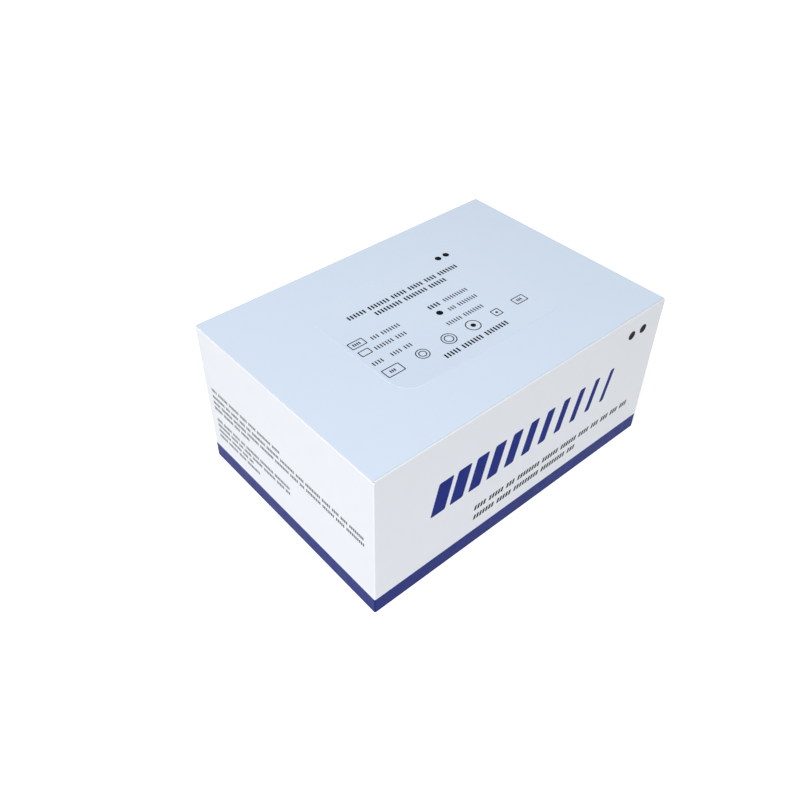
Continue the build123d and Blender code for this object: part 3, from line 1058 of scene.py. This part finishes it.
def makeBottle():
    low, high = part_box("buffer_bottle")
    radius, height = (high.x - low.x) / 2 / mm, (high.z - low.z) / mm
    foot, neck = bottle["footRadius"], bottle["neckRadius"]
    body, rise = bottle["bodyHeight"], bottle["shoulderRise"]
    tipBase = body + rise + bottle["neckHeight"]
    tip, bore, boreEnd = bottle["tipRadius"], bottle["boreRadius"], height - bottle["boreDepth"]
    profile = [(0, bottle["footDish"]), (radius - foot - bottle["footInset"], bottle["footDish"])]
    profile += arcPoints((radius - foot, foot), (foot, foot), -90, 0, bottle["footSteps"])
    profile += arcPoints((neck, body), (radius - neck, rise), 0, 90, bottle["shoulderSteps"])
    profile += [(neck, tipBase), (tip, tipBase), (bottle["tipEndRadius"], height)]
    profile += [(bore, height), (bore, boreEnd), (0, boreEnd)]
    mesh = lathe("bottle", profile, (low + high) / 2, low.z)
    mesh.materials.append(mouldedPlastic("milky plastic", bottle["plastic"], bottle["roughness"],
                                         bottle["seeThrough"]))
    addPiece(mesh, "dropper_bottle", "carton", "bottle_plastic", "buffer_bottle")


makeBottle()


# Screw cap: lathed, with a ring of upright ribs set round it

cap = {
    "plastic": ((0.86, 0.87, 0.875), (0.84, 0.85, 0.86)),
    "roughness": (0.22, 0.30),
    "ribCount": 24,
    "ribRadius": 0.5,
    "ribSides": 10,
    "topRound": 1.2,
    "topSteps": 8,
    "topWall": 1.8,
    "gap": 0.15,
}


def capTree(sizes):
    tree, size = startTree("ribbed cap", sizes)
    ring = step(tree, "MeshCircle", Vertices=size["Ribs"], Radius=size["Ring radius"])
    rib = step(tree, "MeshCylinder", Vertices=size["Rib sides"], Radius=size["Rib radius"],
               Depth=size["Rib height"])
    turn = times(tree, tree.nodes.new("GeometryNodeInputIndex").outputs[0],
                 calc(tree, "DIVIDE", math.tau, size["Ribs"]))
    ribs = step(tree, "InstanceOnPoints", ring, Instance=rib, Rotation=vector(tree, 0, 0, turn))
    real = step(tree, "RealizeInstances", ribs)
    middle = vector(tree, size["Middle X"], size["Middle Y"], size["Middle Z"])
    moved = step(tree, "SetPosition", real, Offset=middle)
    both = step(tree, "JoinGeometry", size["Geometry"])
    tree.links.new(moved, both.node.inputs[0])
    endTree(tree, both, size["Material"])
    return tree


def makeCap():
    low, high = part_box("bottle_cap")
    middle = (low + high) / 2
    height = (high.z - low.z) / mm
    skirtHeight = (low.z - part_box("buffer_bottle")[0].z) / mm
    radius = (high.x - low.x) / 2 / mm - cap["ribRadius"]
    gap, bend = cap["gap"], cap["topRound"]
    inner, tip = bottle["neckRadius"] + gap, bottle["tipRadius"] + gap
    neckTop = bottle["bodyHeight"] + bottle["shoulderRise"] + bottle["neckHeight"]
    shelf, ceiling = neckTop + gap - skirtHeight, height - cap["topWall"]
    profile = [(0, ceiling), (tip, ceiling), (tip, shelf), (inner, shelf), (inner, 0), (radius, 0)]
    profile += arcPoints((radius - bend, height - bend), (bend, bend), 0, 90, cap["topSteps"])
    profile += [(0, height)]
    body = lathe("cap", profile, middle, low.z)
    ribHeight = (height - bend) * mm
    sizes = {
        "Ribs": cap["ribCount"],
        "Rib sides": cap["ribSides"],
        "Rib radius": cap["ribRadius"] * mm,
        "Rib height": ribHeight,
        "Ring radius": radius * mm,
        "Middle X": middle.x,
        "Middle Y": middle.y,
        "Middle Z": low.z + ribHeight / 2,
        "Material": mouldedPlastic("glossy moulded plastic", cap["plastic"], cap["roughness"]),
    }
    mesh = grow(body, capTree(sizes), sizes, "ribbed cap")
    addPiece(mesh, "ribbed_cap", "carton", "cap_plastic", "bottle_cap")


makeCap()
print("bottle and cap made")


# Leaflet: thin folded paper with rows of small print marks on its two outer panels

leaflet = {
    "paper": ((0.84, 0.84, 0.815), (0.79, 0.79, 0.76)),
    "fibreDepth": 0.000012,
    "rowPitch": 3.6,
    "paragraphSpace": 1.8,
    "bars": {"height": 1.5, "weight": 0.5, "slant": 0.0},
    "margin": 7.0,
    "paragraphs": (5, 4, 6, 3),  # Rows in each
    "lastRow": (0.3, 0.8),  # Shortest and longest last row of one, as a share of a full row
    "seed": 20,
}


def leafletRows(length, height, dice):
    # Rows run the length of a panel and stand in paragraphs, whose last row is short
    rows = []
    start, end = leaflet["margin"] - length / 2, length / 2 - leaflet["margin"]
    down = leaflet["margin"]
    for count in leaflet["paragraphs"]:
        for i in range(count):
            share = dice.uniform(*leaflet["lastRow"]) if i == count - 1 else 1
            rows.append((start, start + (end - start) * share, down))
            down += leaflet["rowPitch"]
            if down > height - leaflet["margin"]:
                return rows
        down += leaflet["paragraphSpace"]
    return rows


def makeLeaflet():
    low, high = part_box("instruction_leaflet")
    mesh, shape = workingCopy("instruction_leaflet", "leaflet")
    paper = rawBoard("thin leaflet paper", leaflet["paper"], leaflet["fibreDepth"])
    finishes = [paper, textInk]
    dress(shape, finishes, lambda face: paper)
    for side, level in ((-1, -low.x), (1, high.x)):
        dice = random.Random(leaflet["seed"] + side)
        rows = leafletRows((high.y - low.y) / mm, (high.z - low.z) / mm, dice)
        fields = rowFields(rows, leaflet["bars"],
                           lambda along, down: (side * along, high.z / mm - down), textInk, dice)
        printFlush(shape, finishes, paper, (side, 0, 0), level, fields)
    return settle(mesh, shape, "folded_leaflet", finishes, "carton", "leaflet_paper",
                  "instruction_leaflet")


foldedLeaflet = makeLeaflet()
print("leaflet made,", len(foldedLeaflet.data.polygons), "faces")


# Camera, floor and lights

view = {
    "azimuth": -40.51,
    "elevation": 41.49,
    "place": (-0.2210, -0.2226, 0.3119),
    "lens": 37.596,
    "sensor": 36.0,
    "shift": (0.0195, -0.0134),
    "clip": (0.01, 20),
}


def makeCamera():
    azimuth, elevation = math.radians(view["azimuth"]), math.radians(view["elevation"])
    level = math.cos(elevation)
    back = Vector((math.sin(azimuth) * level, -math.cos(azimuth) * level, math.sin(elevation)))
    right = Vector((math.cos(azimuth), math.sin(azimuth), 0))
    up = back.cross(right)
    data = bpy.data.cameras.new("camera")
    data.lens = view["lens"]
    data.sensor_width = view["sensor"]
    data.shift_x, data.shift_y = view["shift"]
    data.clip_start, data.clip_end = view["clip"]
    camera = bpy.data.objects.new("camera", data)
    turn = Matrix((right, up, back)).transposed().to_4x4()
    camera.matrix_world = Matrix.Translation(view["place"]) @ turn
    bpy.context.scene.collection.objects.link(camera)
    bpy.context.scene.camera = camera


studio = {
    "floorSize": 6.0,
    "floorColour": (0.93, 0.93, 0.935),
    "floorRoughness": 0.9,
    "floorGloss": 0.1,
    "floorGlow": (0.46, 0.66),  # Near the object and far from it
    "glowReach": (0.35, 1.5),
    "ambient": 0.42,
    "backdrop": 1.0,
    "keyPlace": (-0.57, -0.285, 1.07),
    "keySize": 0.45,
    "keyPower": 9.7,
    "keyColour": (0.985, 0.99, 1.0),
}


def seenOnly(tree):
    # 1 where the camera, a reflection or a transmission looks, 0 where light is gathered
    rays = tree.nodes.new("ShaderNodeLightPath").outputs
    seen = calc(tree, "MAXIMUM", rays["Is Camera Ray"], rays["Is Glossy Ray"])
    return calc(tree, "MAXIMUM", seen, rays["Is Transmission Ray"])


def makeFloor():
    half = studio["floorSize"] / 2
    corners = [(-half, -half, 0), (half, -half, 0), (half, half, 0), (-half, half, 0)]
    mesh = bpy.data.meshes.new("floor")
    mesh.from_pydata(corners, [], [(0, 1, 2, 3)])
    floor = bpy.data.objects.new("floor", mesh)
    bpy.context.scene.collection.objects.link(floor)
    material, tree, shader = startMaterial("pale floor", studio["floorColour"],
                                           studio["floorRoughness"])
    shader.inputs["Specular IOR Level"].default_value = studio["floorGloss"]
    # The glow is only seen: it lights nothing, and the lamp's shadow shows on the floor through it
    away = vectorCalc(tree, "LENGTH", objectPlace(tree))["Value"]
    glow = remap(tree, away, *studio["glowReach"], *studio["floorGlow"])
    shader.inputs["Emission Color"].default_value = (1, 1, 1, 1)
    tree.links.new(times(tree, glow, seenOnly(tree)), shader.inputs["Emission Strength"])
    mesh.materials.append(material)


def makeWorld():
    world = bpy.data.worlds.new("studio")
    bpy.context.scene.world = world
    world.use_nodes = True
    tree = world.node_tree
    background = tree.nodes["Background"]
    background.inputs["Color"].default_value = (1, 1, 1, 1)
    strength = remap(tree, seenOnly(tree), 0, 1, studio["ambient"], studio["backdrop"])
    tree.links.new(strength, background.inputs["Strength"])


def makeKeyLamp():
    data = bpy.data.lights.new("key", "AREA")
    data.size = studio["keySize"]
    data.energy = studio["keyPower"]
    data.color = studio["keyColour"]
    lamp = bpy.data.objects.new("key", data)
    lamp.location = studio["keyPlace"]
    lamp.rotation_mode = "QUATERNION"
    lamp.rotation_quaternion = Vector(studio["keyPlace"]).to_track_quat("Z", "Y")
    bpy.context.scene.collection.objects.link(lamp)


makeCamera()
makeFloor()
makeWorld()
makeKeyLamp()
bpy.context.scene.view_settings.view_transform = "Standard"
print("camera, floor and lights made")
